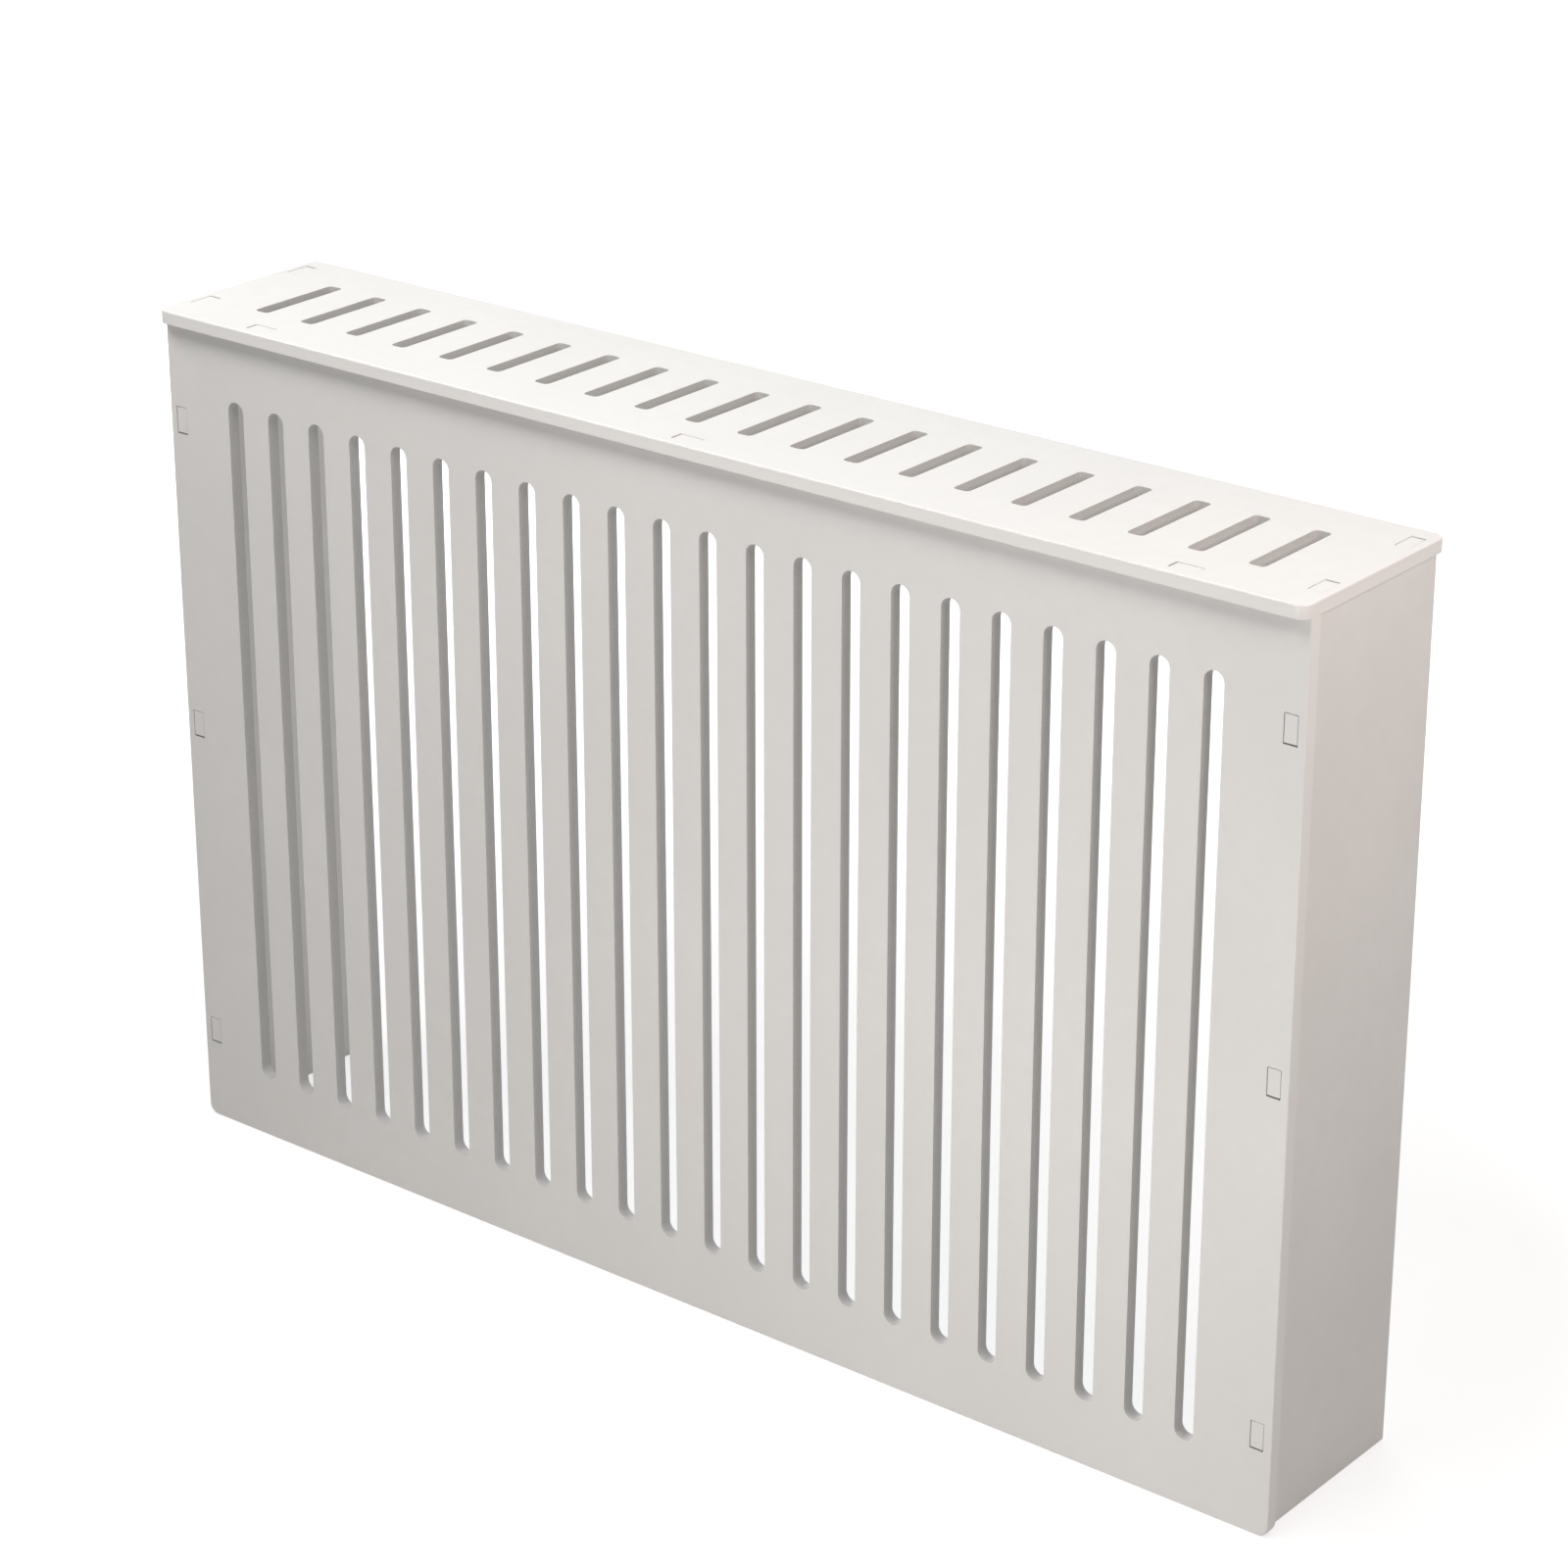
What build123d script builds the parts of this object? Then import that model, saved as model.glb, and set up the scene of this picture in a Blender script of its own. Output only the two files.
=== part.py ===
"""Radiator cover cabinet: four white boards that plug together with through tenons.

A slotted top board drops over seven upright tenons, and a slotted front board is
locked to two plain side boards by six more.  The back and the floor are open, so
the cabinet stands over a wall radiator; two steel angles tie it to the wall.

Frame: +X along the width, -Y to the front, +Z up.  The origin is on the floor,
under the middle of the cabinet.  All sizes are in millimetres.
"""
import os

from build123d import *

# ---------------------------------------------------------------- whole cabinet
width = 1200.0                # over the ends of the top and front boards
height = 800.0                # floor to the upper face of the top board
depth = 200.0                 # top board, front edge to wall
board = 12.0                  # thickness of all four boards
front_overhang = 10.0         # top board past the front board's face
side_inset = 8.0              # side board's outer face, in from the front board's end
top_corner_round = 10.0       # plan radius of the top board's corners
front_corner_round = 10.0     # front board's two lower corners
edge_round = 1.5              # long edges that hands touch
edge_break = 0.5              # chamfer on the unseen rims of the top and front boards

# ---------------------------------------------------------------- ventilation slots
front_slots = 22
front_slot_width = 18.0
front_slot_side_margin = 74.0      # front board's end to the first slot
front_slot_end_margin = 61.0       # slot's tip to the board's lower or upper edge
top_slots = 20
top_slot_width = 15.0
top_slot_corner = 4.0              # squarer ends than the front board's round ones
top_slot_side_margin = 70.0        # top board's end to the first slot
top_slot_end_margin = 52.0         # slot's tip to the top board's front or rear edge

# ---------------------------------------------------------------- through tenons
tenon_length = 24.0           # along the board's edge
tenon_shy = 0.2               # the tenon stops this far short of the outer face
tenon_lead = 0.5              # chamfer that starts it in its mortise
mortise_play = 0.3            # both cheeks and the tight end
mortise_slack = 1.2           # loose end, seen as a dark line beside the tenon
front_tenon_end = 91.0        # side board's forward tenons, from the front board's edges
front_tenon_rise = 10.0       # the middle one, above the front board's middle
top_tenon_front = 46.0        # side board's upright tenons, from the top's front edge
top_tenon_rear = 32.0         # and from the wall
top_tenon_side = 115.0        # front board's outer upright tenons, from its ends

# ---------------------------------------------------------------- wall angles
angle_thick = 2.0
angle_tall = 30.0
angle_board_leg = 40.0        # against the side board
angle_wall_leg = 30.0         # against the wall
angle_bend = 2.0              # inside radius of the bend
angle_corner = 4.0            # free corners of both legs, cropped
angle_below_top = 40.0        # middle of the angle, below the top board
screw_pitch = 18.0            # two screws in the board leg
screw_from_wall = 14.0        # wall to the nearer screw
screw_hole = 4.2              # in the steel
wall_slot_width = 5.5
wall_slot_length = 10.0
wall_slot_reach = 18.0        # slot's centre, from the side board's inner face

# ---------------------------------------------------------------- pan-head screws
screw_core = 3.0
screw_bite = 9.0              # depth in the side board
pilot_play = 0.1              # round the core, in the board
head_diameter = 7.0
head_tall = 2.4

# ---------------------------------------------------------------- shared places
board_height = height - board                  # front and side boards, floor to top board
face_y = -depth / 2 + front_overhang           # front board's outer face
back_y = face_y + board                        # front board's inner face
wall_y = depth / 2
side_outer = width / 2 - side_inset            # side board's faces, right-hand side
side_inner = side_outer - board
side_x = (side_outer + side_inner) / 2
tenon_reach = board - tenon_shy
forward_tenon_z = (
    front_tenon_end,
    board_height / 2 + front_tenon_rise,
    board_height - front_tenon_end,
)
side_tenon_y = (-depth / 2 + top_tenon_front, wall_y - top_tenon_rear)
front_tenon_x = (-width / 2 + top_tenon_side, 0.0, width / 2 - top_tenon_side)
angle_z = board_height - angle_below_top
screw_y = (wall_y - screw_from_wall, wall_y - screw_from_wall - screw_pitch)


def spread(count, margin, slot_width):
    """Centres along X of equal slots, the outer ones a margin in from both ends."""
    first = -width / 2 + margin + slot_width / 2
    return [first - 2 * first * i / (count - 1) for i in range(count)]


def tenon(x_size, y_size, z_size, leading):
    """Tenon about its own centre, chamfered round the face that lies furthest along leading."""
    block = Box(x_size, y_size, z_size)
    return chamfer(block.faces().sort_by(leading)[-1].edges(), tenon_lead)


def top_board():
    """Round-cornered slotted board with seven through mortises for the upright tenons."""
    blank = extrude(RectangleRounded(width, depth, top_corner_round), board)
    top = fillet(blank.faces().sort_by(Axis.Z)[-1].edges(), edge_round)
    top = chamfer(top.faces().sort_by(Axis.Z)[0].edges(), edge_break)

    slot_length = depth - 2 * top_slot_end_margin
    slot = extrude(RectangleRounded(top_slot_width, slot_length, top_slot_corner), board)
    top -= [Pos(x, 0) * slot for x in spread(top_slots, top_slot_side_margin, top_slot_width)]

    across = board + 2 * mortise_play
    along = tenon_length + mortise_play + mortise_slack
    loose = (mortise_slack - mortise_play) / 2
    for y in side_tenon_y:
        top -= [Pos(x, y + loose, board / 2) * Box(across, along, board) for x in (-side_x, side_x)]
    top -= [
        Pos(x - loose, face_y + board / 2, board / 2) * Box(along, across, board)
        for x in front_tenon_x
    ]
    return Pos(0, 0, board_height) * top


def front_board():
    """Slotted board with three upright tenons and three through mortises at each end."""
    # Outline and slot are drawn flat, then stood up with their foot on the board's inner face.
    stand = Pos(0, back_y, board_height / 2) * Rot(90, 0, 0)
    outline = Rectangle(width, board_height)
    outline = fillet(outline.vertices().group_by(Axis.Y)[0], front_corner_round)
    blank = stand * extrude(outline, board)
    # The upper edge stays square on both faces, because it seats the top board.
    front = fillet(blank.faces().sort_by(Axis.Y)[0].edges().sort_by(Axis.Z)[:-1], edge_round)
    inner = front.faces().sort_by(Axis.Y)[-1]
    front = chamfer(inner.edges().sort_by(Axis.Z)[:-1], edge_break)

    slot_length = board_height - 2 * front_slot_end_margin
    slot = stand * extrude(SlotOverall(slot_length, front_slot_width, rotation=90), board)
    front -= [Pos(x, 0) * slot for x in spread(front_slots, front_slot_side_margin, front_slot_width)]

    across = board + 2 * mortise_play
    along = tenon_length + mortise_play + mortise_slack
    loose = (mortise_slack - mortise_play) / 2
    for z in forward_tenon_z:
        hole = Box(across, board, along)
        front -= [Pos(x, face_y + board / 2, z - loose) * hole for x in (-side_x, side_x)]

    upright_tenon = tenon(tenon_length, board, tenon_reach, Axis.Z)
    z = board_height + tenon_reach / 2
    return front + [Pos(x, face_y + board / 2, z) * upright_tenon for x in front_tenon_x]


def side_board(hand):
    """Plain board with two upright and three forward tenons; hand is -1 left, +1 right."""
    deep = wall_y - back_y
    blank = Pos(0, back_y + deep / 2, board_height / 2) * Box(board, deep, board_height)
    rear = blank.edges().filter_by(Axis.Z).group_by(Axis.Y)[-1]
    foot = blank.edges().filter_by(Axis.Y).group_by(Axis.Z)[0]
    side = fillet(rear + foot, edge_round)

    upright = tenon(board, tenon_length, tenon_reach, Axis.Z)
    side += [Pos(0, y, board_height + tenon_reach / 2) * upright for y in side_tenon_y]
    forward = Rot(0, 0, 180) * tenon(board, tenon_reach, tenon_length, Axis.Y)
    side += [Pos(0, back_y - tenon_reach / 2, z) * forward for z in forward_tenon_z]

    # Pilot holes for the wall angle's screws, from the inner face.
    pilot = Rot(0, -90 * hand, 0) * Cylinder(screw_core / 2 + pilot_play, screw_bite)
    reach = -hand * (board - screw_bite) / 2
    side -= [Pos(reach, y, angle_z) * pilot for y in screw_y]
    return Pos(hand * side_x, 0, 0) * side


def wall_angle(hand):
    """Bent steel angle in the rear corner: one leg on the side board, one on the wall."""
    # Built for the right-hand side, its outer corner on the board's face and the wall.
    board_leg = Pos(-angle_thick / 2, -angle_board_leg / 2, 0) * Box(
        angle_thick, angle_board_leg, angle_tall
    )
    wall_leg = Pos(-angle_wall_leg / 2, -angle_thick / 2, 0) * Box(
        angle_wall_leg, angle_thick, angle_tall
    )
    steel = board_leg + wall_leg
    upright = steel.edges().filter_by(Axis.Z)
    steel = fillet(upright.sort_by_distance((-angle_thick, -angle_thick, 0))[:1], angle_bend)
    outer = steel.edges().filter_by(Axis.Z).sort_by_distance((0, 0, 0))[:1]
    steel = fillet(outer, angle_bend + angle_thick)
    board_tip = steel.edges().filter_by(Axis.X).group_by(Axis.Y)[0]
    wall_tip = steel.edges().filter_by(Axis.Y).group_by(Axis.X)[0]
    steel = chamfer(board_tip + wall_tip, angle_corner)

    hole = Rot(0, 90, 0) * Cylinder(screw_hole / 2, 3 * angle_thick)
    steel -= [Pos(0, y - wall_y, 0) * hole for y in screw_y]
    slot = extrude(SlotOverall(wall_slot_length, wall_slot_width), 3 * angle_thick, both=True)
    steel -= Pos(-wall_slot_reach, 0, 0) * Rot(90, 0, 0) * slot
    right = Pos(side_inner, wall_y, angle_z) * steel
    return right if hand > 0 else mirror(right, Plane.YZ)


def screw():
    """Pan-head screw along Z: the head sits on Z 0 and the core runs down from it."""
    head = Pos(0, 0, head_tall / 2) * Cylinder(head_diameter / 2, head_tall)
    grip = angle_thick + screw_bite
    return head + Pos(0, 0, -grip / 2) * Cylinder(screw_core / 2, grip)


def angle_screws(hand):
    """The two screws that hold one wall angle to its side board."""
    seat = side_inner - angle_thick
    return Compound(
        [Pos(hand * seat, y, angle_z) * Rot(0, -90 * hand, 0) * screw() for y in screw_y]
    )


pieces = {
    "top_panel": top_board(),
    "front_panel": front_board(),
    "left_side_panel": side_board(-1),
    "right_side_panel": side_board(1),
    "left_wall_bracket": wall_angle(-1),
    "right_wall_bracket": wall_angle(1),
    "left_bracket_screws": angle_screws(-1),
    "right_bracket_screws": angle_screws(1),
}

os.makedirs("parts", exist_ok=True)
for name, piece in pieces.items():
    export_step(piece, f"parts/{name}.step")
    box = piece.bounding_box()
    print(f"{name:22s} {box.min} {box.max} {piece.volume / 1000:9.1f} cm3")
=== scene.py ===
from math import cos, pi, radians, sin

import bmesh
import bpy
from mathutils import Matrix, Vector


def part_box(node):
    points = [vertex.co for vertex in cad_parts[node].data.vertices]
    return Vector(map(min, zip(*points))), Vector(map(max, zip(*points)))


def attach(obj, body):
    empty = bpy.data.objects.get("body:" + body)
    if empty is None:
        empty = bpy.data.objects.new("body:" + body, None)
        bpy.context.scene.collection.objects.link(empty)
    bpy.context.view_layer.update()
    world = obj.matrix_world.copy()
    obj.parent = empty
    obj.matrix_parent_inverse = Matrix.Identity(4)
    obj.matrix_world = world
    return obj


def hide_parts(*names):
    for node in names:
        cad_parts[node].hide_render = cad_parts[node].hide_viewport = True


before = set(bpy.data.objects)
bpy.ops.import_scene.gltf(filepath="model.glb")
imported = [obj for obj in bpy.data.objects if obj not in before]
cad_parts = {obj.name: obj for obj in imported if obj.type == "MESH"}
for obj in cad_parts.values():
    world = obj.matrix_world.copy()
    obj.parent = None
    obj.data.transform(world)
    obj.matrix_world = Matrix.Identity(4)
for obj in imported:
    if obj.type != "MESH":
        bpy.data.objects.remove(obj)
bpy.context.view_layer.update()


# ------------------------------------------------------------------ front board
# A 12 mm fibreboard panel, routed with a row of upright vent slots and with three mortises
# at each end, three tenons left standing on its upper edge.  All its edges are eased and
# it is sprayed satin white before it is laid face down to take the side boards.

MM = 0.001
BOARD = 12 * MM
FREE_CORNER = 10 * MM         # the front board's lower corners, the top board's all four
CORNER_STEPS = 8              # short straight cuts that make up a rounded corner

FRONT_SLOTS = 22
FRONT_SLOT_WIDE = 18 * MM
FRONT_SLOT_SIDE = 74 * MM     # board's end to the first slot
FRONT_SLOT_END = 61 * MM      # slot's tip to the board's edge
FULL_ROUND = 0.4999           # corner radius of a round-ended slot, as a share of its width

TENON_LONG = 24 * MM
TENON_REACH = 11.8 * MM
TENON_ROOT = 0.25 * MM        # radius where the tenon leaves the board's edge
TENON_TIP = 0.7 * MM          # and of its two free corners
FRONT_TENON_X = (485 * MM, 0.0, -485 * MM)
FORWARD_TENON_Z = (91 * MM, 404 * MM, 697 * MM)
MORTISE_LONG = 25.5 * MM
MORTISE_WIDE = 12.6 * MM
MORTISE_CORNER = 0.8 * MM
MORTISE_CORNER_STEPS = 3
MORTISE_SHIFT = 0.45 * MM     # the slack is all at one end of the mortise

FACE_EASE = 1.5 * MM          # round-over on the long edges that hands touch
TENON_EASE = 0.6 * MM
HIDDEN_EASE = 0.5 * MM        # rims of the inner faces, only broken with paper
SEAT_EASE = 0.4 * MM          # edges that meet another board
SLOT_EASE = 0.3 * MM          # the cutter's edges, broken with paper
EASE_STEPS = 3
SEAT_RUN = 1.2 * MM           # an end's round-over fades out this far below the top board

SAME_SPOT = 0.005 * MM        # points nearer than this are one
FLAT_WALL = 60 * MM * MM      # walls with more area than this are flat ones,
LEAST_TILT = 0.01             # and lean less than this
# The outer rims carry this share of the "cut" mark, which whitens them as painted highlight.
RIM_HIGHLIGHT_MARK = 0.2                # how much an outer rim is marked as "cut"; a slot is marked 1

half_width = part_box("front_panel")[1].x
front_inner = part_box("front_panel")[1].y
side_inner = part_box("right_side_panel")[0].x
side_middle = side_inner + BOARD / 2
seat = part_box("top_panel")[0].z       # underside of the top board, where the others end


def add_node(tree, kind, feeds=None, **settings):
    """One node; feeds gives each input a value or another node's output."""
    made = tree.nodes.new(kind)
    for name, value in settings.items():
        setattr(made, name, value)
    for name, value in (feeds or {}).items():
        if isinstance(value, bpy.types.NodeSocket):
            tree.links.new(value, made.inputs[name])
        else:
            made.inputs[name].default_value = value
    return made


def calc(tree, operation, first, second=0.0):
    """Result of one Math node."""
    return add_node(tree, "ShaderNodeMath", {0: first, 1: second}, operation=operation).outputs[0]


def calc_vector(tree, operation, first, second=(0, 0, 0)):
    """Vector result of one Vector Math node."""
    feeds = {0: first, (3 if operation == "SCALE" else 1): second}
    return add_node(tree, "ShaderNodeVectorMath", feeds, operation=operation).outputs[0]


def blend_between(tree, value, low, high, start=0.0, end=1.0):
    """Maps value from start..end to low..high, held at both ends."""
    feeds = {
        "Value": value, "From Min": start, "From Max": end, "To Min": low, "To Max": high,
    }
    return add_node(tree, "ShaderNodeMapRange", feeds).outputs[0]


def upright(tree, height):
    """Vector of the given height along Z."""
    return add_node(tree, "ShaderNodeCombineXYZ", {"Z": height}).outputs[0]


def read_mark(tree, name, kind="FLOAT"):
    """Field that reads a named attribute."""
    feeds = {"Name": name}
    return add_node(tree, "GeometryNodeInputNamedAttribute", feeds, data_type=kind).outputs[0]


def keep_mark(tree, geometry, name, value, kind="FLOAT", domain="POINT"):
    """Geometry with a named attribute stored on it."""
    feeds = {"Geometry": geometry, "Name": name, "Value": value}
    settings = {"data_type": kind, "domain": domain}
    return add_node(tree, "GeometryNodeStoreNamedAttribute", feeds, **settings).outputs[0]


def joined(tree, *parts):
    """All the parts as one geometry."""
    join = add_node(tree, "GeometryNodeJoinGeometry")
    for part in parts:
        tree.links.new(part, join.inputs[0])
    return join.outputs[0]


def open_tree(name, sockets):
    """Empty Geometry Nodes tree with named inputs, and what its inputs give."""
    tree = bpy.data.node_groups.new(name, "GeometryNodeTree")
    for label, kind in sockets.items():
        tree.interface.new_socket(label, in_out="INPUT", socket_type="NodeSocket" + kind)
    tree.interface.new_socket("Made", in_out="OUTPUT", socket_type="NodeSocketGeometry")
    return tree, add_node(tree, "NodeGroupInput").outputs


def close_tree(tree, geometry, finish):
    """Ends a tree: plain mesh, one finish."""
    plain = add_node(tree, "GeometryNodeRealizeInstances", {"Geometry": geometry}).outputs[0]
    feeds = {"Geometry": plain, "Material": finish}
    done = add_node(tree, "GeometryNodeSetMaterial", feeds).outputs[0]
    add_node(tree, "NodeGroupOutput", {0: done})


def rounded_hole(tree, given, kind, steps):
    """Outline of one slot or mortise, about its own middle."""
    feeds = {"Width": given[kind + " Width"], "Height": given[kind + " Length"]}
    hole = add_node(tree, "GeometryNodeCurvePrimitiveQuadrilateral", feeds).outputs[0]
    feeds = {"Curve": hole, "Count": steps, "Radius": given[kind + " Corner"]}
    hole = add_node(tree, "GeometryNodeFilletCurve", feeds, mode="POLY").outputs[0]
    hole = keep_mark(tree, hole, "ease", given[kind + " Ease"])
    return keep_mark(tree, hole, "narrow", 1.0)


def cut_lines(tree, given):
    """Lines that the cutter follows: the outline, the row of slots, and the mortises, turned
    as the blank's loose points say."""
    loop = add_node(tree, "GeometryNodeMeshToCurve", {"Mesh": given["Blank"]}).outputs[0]
    feeds = {"Curve": loop, "Count": given["Corner Steps"], "Radius": read_mark(tree, "corner")}
    outline = add_node(tree, "GeometryNodeFilletCurve", feeds, mode="POLY").outputs[0]

    stride = add_node(tree, "ShaderNodeCombineXYZ", {"X": given["Slot Pitch"]}).outputs[0]
    feeds = {"Count": given["Slot Count"], "Start Location": given["Slot First"], "Offset": stride}
    row = add_node(tree, "GeometryNodeMeshLine", feeds).outputs[0]
    feeds = {"Points": row, "Instance": rounded_hole(tree, given, "Slot", given["Corner Steps"])}
    slots = add_node(tree, "GeometryNodeInstanceOnPoints", feeds).outputs[0]

    met = add_node(tree, "GeometryNodeInputMeshVertexNeighbors").outputs["Vertex Count"]
    feeds = {
        "Points": given["Blank"], "Selection": calc(tree, "LESS_THAN", met, 0.5),
        "Instance": rounded_hole(tree, given, "Mortise", MORTISE_CORNER_STEPS),
        "Rotation": upright(tree, read_mark(tree, "turn")),
    }
    mortises = add_node(tree, "GeometryNodeInstanceOnPoints", feeds).outputs[0]

    # Holes run the other way round, so that the sheet lies to the left of every cut.
    feeds = {"Geometry": joined(tree, slots, mortises)}
    holes = add_node(tree, "GeometryNodeRealizeInstances", feeds).outputs[0]
    holes = add_node(tree, "GeometryNodeReverseCurve", {"Curve": holes}).outputs[0]
    return joined(tree, outline, holes)


def mark_cuts(tree, cuts):
    """Marks each point of the cuts: "line" is its place, and "inset" points into the sheet,
    mitred at corners."""
    place = add_node(tree, "GeometryNodeInputPosition").outputs[0]
    tangent = add_node(tree, "GeometryNodeInputTangent").outputs[0]
    ahead = add_node(tree, "GeometryNodeOffsetPointInCurve", {"Offset": 1}).outputs["Point Index"]
    feeds = {"Index": ahead, "Value": place}
    ahead = add_node(tree, "GeometryNodeFieldAtIndex", feeds, data_type="FLOAT_VECTOR").outputs[0]
    run = calc_vector(tree, "NORMALIZE", calc_vector(tree, "SUBTRACT", ahead, place))
    feeds = {0: run, 1: tangent}
    mitre = add_node(tree, "ShaderNodeVectorMath", feeds, operation="DOT_PRODUCT").outputs["Value"]
    across = calc_vector(tree, "CROSS_PRODUCT", (0, 0, 1), tangent)
    inset = calc_vector(tree, "SCALE", across, calc(tree, "DIVIDE", 1.0, mitre))
    cuts = keep_mark(tree, cuts, "inset", inset, "FLOAT_VECTOR")
    return keep_mark(tree, cuts, "line", place, "FLOAT_VECTOR")


def drawn_in(tree, distance):
    """Place of a cut's point once it is moved into the sheet."""
    into = calc_vector(tree, "SCALE", read_mark(tree, "inset", "FLOAT_VECTOR"), distance)
    return calc_vector(tree, "ADD", read_mark(tree, "line", "FLOAT_VECTOR"), into)


def edge_section(tree, steps):
    """Section of an edge: a quarter round, the square wall, another quarter round.  "inward"
    and "rise" place its points, as shares of the ease, and "upper" is 1 past the wall."""
    count = calc(tree, "ADD", calc(tree, "MULTIPLY", steps, 2.0), 2.0)
    section = add_node(tree, "GeometryNodeMeshLine", {"Count": count}).outputs[0]
    section = add_node(tree, "GeometryNodeMeshToCurve", {"Mesh": section}).outputs[0]
    index = add_node(tree, "GeometryNodeInputIndex").outputs[0]
    upper = calc(tree, "GREATER_THAN", index, calc(tree, "ADD", steps, 0.5))
    lower = calc(tree, "SUBTRACT", 1.0, upper)
    past = calc(tree, "MULTIPLY", upper, calc(tree, "ADD", steps, 1.0))
    part = calc(tree, "DIVIDE", calc(tree, "SUBTRACT", index, past), steps)
    angle = calc(tree, "MULTIPLY", part, pi / 2)
    sine, cosine = calc(tree, "SINE", angle), calc(tree, "COSINE", angle)
    inward = calc(
        tree, "SUBTRACT", calc(tree, "SUBTRACT", 1.0, calc(tree, "MULTIPLY", lower, sine)),
        calc(tree, "MULTIPLY", upper, cosine),
    )
    rise = calc(
        tree, "SUBTRACT", calc(tree, "MULTIPLY", lower, calc(tree, "SUBTRACT", 1.0, cosine)),
        calc(tree, "MULTIPLY", upper, calc(tree, "SUBTRACT", 1.0, sine)),
    )
    for name, value in (("inward", inward), ("rise", rise), ("upper", upper)):
        section = keep_mark(tree, section, name, value)
    return section


def cut_walls(tree, given, cuts, inner_ease, outer_ease):
    """Walls of all cuts.  Round-overs and the turns of holes and corners are shaded smooth."""
    feeds = {"Curve": cuts, "Profile Curve": edge_section(tree, given["Ease Steps"])}
    walls = add_node(tree, "GeometryNodeCurveToMesh", feeds).outputs[0]
    upper = read_mark(tree, "upper")
    ease = blend_between(tree, upper, inner_ease, outer_ease)
    inward = calc(tree, "MULTIPLY", read_mark(tree, "inward"), ease)
    rise = calc(tree, "MULTIPLY", read_mark(tree, "rise"), ease)
    level = calc(tree, "ADD", rise, calc(tree, "MULTIPLY", upper, given["Thickness"]))
    spot = calc_vector(tree, "ADD", drawn_in(tree, inward), upright(tree, level))
    feeds = {"Geometry": walls, "Position": spot}
    walls = add_node(tree, "GeometryNodeSetPosition", feeds).outputs[0]
    walls = add_node(tree, "GeometryNodeFlipFaces", {"Mesh": walls}).outputs[0]

    # The "cut" mark: a small share on outer rims, which the lacquer whitens as painted highlight,
    # and 1 in slots and mortises, which it greys as painted shade; it also roughens the coat and
    # raises fibres there.
    worked_and_painted_light = blend_between(tree, outer_ease, 0.0, RIM_HIGHLIGHT_MARK, TENON_EASE, FACE_EASE)
    worked_and_painted_light = calc(tree, "MAXIMUM", worked_and_painted_light, read_mark(tree, "narrow"))
    walls = keep_mark(tree, walls, "cut", worked_and_painted_light, domain="FACE")

    normal = add_node(tree, "GeometryNodeInputNormal").outputs[0]
    tilt = add_node(tree, "ShaderNodeSeparateXYZ", {0: normal}).outputs["Z"]
    area = add_node(tree, "GeometryNodeInputMeshFaceArea").outputs[0]
    square = calc(tree, "LESS_THAN", calc(tree, "ABSOLUTE", tilt), LEAST_TILT)
    wide = calc(tree, "GREATER_THAN", area, FLAT_WALL)
    soft = calc(tree, "LESS_THAN", calc(tree, "MULTIPLY", square, wide), 0.5)
    feeds = {"Geometry": walls, "Shade Smooth": soft}
    return add_node(tree, "GeometryNodeSetShadeSmooth", feeds).outputs[0]


def sheet_faces(tree, given, cuts, inner_ease, outer_ease):
    """Both faces: the cuts drawn in by their easing and filled, holes left open."""
    faces = []
    for ease in (inner_ease, outer_ease):
        feeds = {"Geometry": cuts, "Position": drawn_in(tree, ease)}
        rim = add_node(tree, "GeometryNodeSetPosition", feeds).outputs[0]
        face = add_node(tree, "GeometryNodeFillCurve", {"Curve": rim}).outputs[0]
        faces.append(keep_mark(tree, face, "cut", 0.0, domain="FACE"))
    back = add_node(tree, "GeometryNodeFlipFaces", {"Mesh": faces[0]}).outputs[0]
    feeds = {"Geometry": faces[1], "Offset": upright(tree, given["Thickness"])}
    show = add_node(tree, "GeometryNodeSetPosition", feeds).outputs[0]
    feeds = {"Geometry": joined(tree, show, back), "Shade Smooth": False}
    return add_node(tree, "GeometryNodeSetShadeSmooth", feeds).outputs[0]


def panel_cutting_tree():
    """Cuts a panel out of sheet.  The blank's edge loop is the outline, and each of its
    loose points is the middle of a mortise.  Local Z runs through the sheet."""
    tree, given = open_tree("panel_cutting", {
        "Blank": "Geometry", "Thickness": "Float", "Corner Steps": "Int", "Ease Steps": "Int",
        "Most Inner Ease": "Float",
        "Slot Count": "Int", "Slot First": "Vector", "Slot Pitch": "Float",
        "Slot Length": "Float", "Slot Width": "Float", "Slot Corner": "Float",
        "Slot Ease": "Float",
        "Mortise Length": "Float", "Mortise Width": "Float", "Mortise Corner": "Float",
        "Mortise Ease": "Float", "Finish": "Material",
    })
    cuts = mark_cuts(tree, cut_lines(tree, given))
    outer_ease = read_mark(tree, "ease")
    inner_ease = calc(tree, "MINIMUM", outer_ease, given["Most Inner Ease"])
    walls = cut_walls(tree, given, cuts, inner_ease, outer_ease)
    faces = sheet_faces(tree, given, cuts, inner_ease, outer_ease)
    feeds = {"Geometry": joined(tree, walls, faces), "Distance": SAME_SPOT}
    whole = add_node(tree, "GeometryNodeMergeByDistance", feeds).outputs[0]
    close_tree(tree, whole, given["Finish"])
    return tree


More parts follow.
